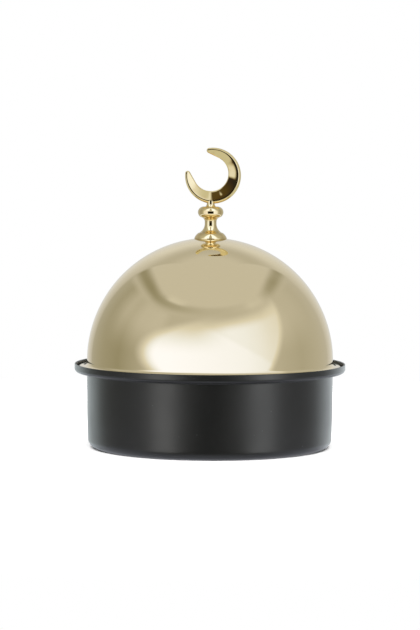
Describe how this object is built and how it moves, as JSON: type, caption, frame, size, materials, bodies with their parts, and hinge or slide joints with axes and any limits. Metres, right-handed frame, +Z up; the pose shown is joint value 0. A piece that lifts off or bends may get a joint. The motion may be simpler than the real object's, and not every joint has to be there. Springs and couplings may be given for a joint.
{
  "type": "date bowl",
  "caption": "Round bowl for dates with a straight wall, a stepped rim and a lift-off half-sphere lid with a turned finial and crescent.",
  "frame": {"origin": "on the floor, at the middle of the bowl's base", "axes": "+Z up along the bowl's axis; the crescent lies in the XZ plane with its opening up and to -X, and the front view looks along +Y"},
  "size_m": [0.2, 0.2, 0.2209],
  "materials": {
    "black_lacquer": "satin black stoved lacquer on steel sheet",
    "dome_gold": "mirror-polished steel sheet with a pale gold coating",
    "finial_gold": "polished cast and turned metal, gold plated",
    "plain_steel": "plain bright zinc-plated steel"
  },
  "bodies": {
    "bowl": {"bowl": "black_lacquer"},
    "lid": {"dome": "dome_gold", "finial_bell": "finial_gold", "finial_bead": "finial_gold", "crescent": "finial_gold", "stud": "plain_steel", "flat_washer": "plain_steel", "spring_washer": "plain_steel", "cap_nut": "plain_steel"}
  },
  "joints": [
    {"name": "lid_lift", "type": "slide", "parent": "bowl", "child": "lid", "axis": [0, 0, 1], "range_m": [0, 0.15]}
  ]
}
